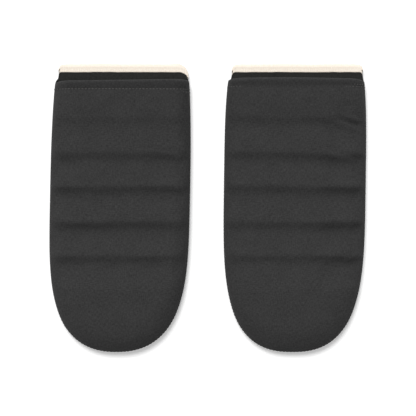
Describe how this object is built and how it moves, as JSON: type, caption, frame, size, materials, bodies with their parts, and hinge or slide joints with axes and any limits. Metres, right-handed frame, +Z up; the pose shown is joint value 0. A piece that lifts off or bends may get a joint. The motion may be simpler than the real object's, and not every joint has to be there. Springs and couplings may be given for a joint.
{
  "type": "pair of oven mitts",
  "caption": "Pair of thumbless quilted oven mitts in charcoal canvas, with a rounded fingertip end, a dark lining and a cream ribbed tape along the longer back lip.",
  "frame": {"origin": "middle of the pair, on the surface that the mitts lie on", "axes": "+Z up; +Y towards the mouths, along each mitt; +X from the left mitt to the right one"},
  "size_m": [0.333, 0.302, 0.0258],
  "materials": {
    "canvas": "matt plain-weave cotton canvas, charcoal",
    "lining": "matt cotton lining, near black",
    "batting": "felted cotton batting, off-white",
    "tape": "ribbed cotton tape, cream",
    "dark_thread": "twisted polyester sewing thread, dark grey",
    "pale_thread": "twisted polyester sewing thread, ecru"
  },
  "bodies": {
    "left_mitt": {"left_front_shell": "canvas", "left_back_shell": "canvas", "left_front_batting": "batting", "left_back_batting": "batting", "left_front_lining": "lining", "left_back_lining": "lining", "left_mouth_tape": "tape", "left_tape_stitching": "pale_thread", "left_hem_stitching": "dark_thread", "left_front_quilting": "dark_thread", "left_back_quilting": "dark_thread", "left_edge_seam": "dark_thread"},
    "right_mitt": {"right_front_shell": "canvas", "right_back_shell": "canvas", "right_front_batting": "batting", "right_back_batting": "batting", "right_front_lining": "lining", "right_back_lining": "lining", "right_mouth_tape": "tape", "right_tape_stitching": "pale_thread", "right_hem_stitching": "dark_thread", "right_front_quilting": "dark_thread", "right_back_quilting": "dark_thread", "right_edge_seam": "dark_thread"}
  },
  "joints": [
    {"name": "right_mitt_lift", "type": "slide", "parent": "left_mitt", "child": "right_mitt", "axis": [0, 0, 1], "range_m": [0, 0.2]}
  ]
}
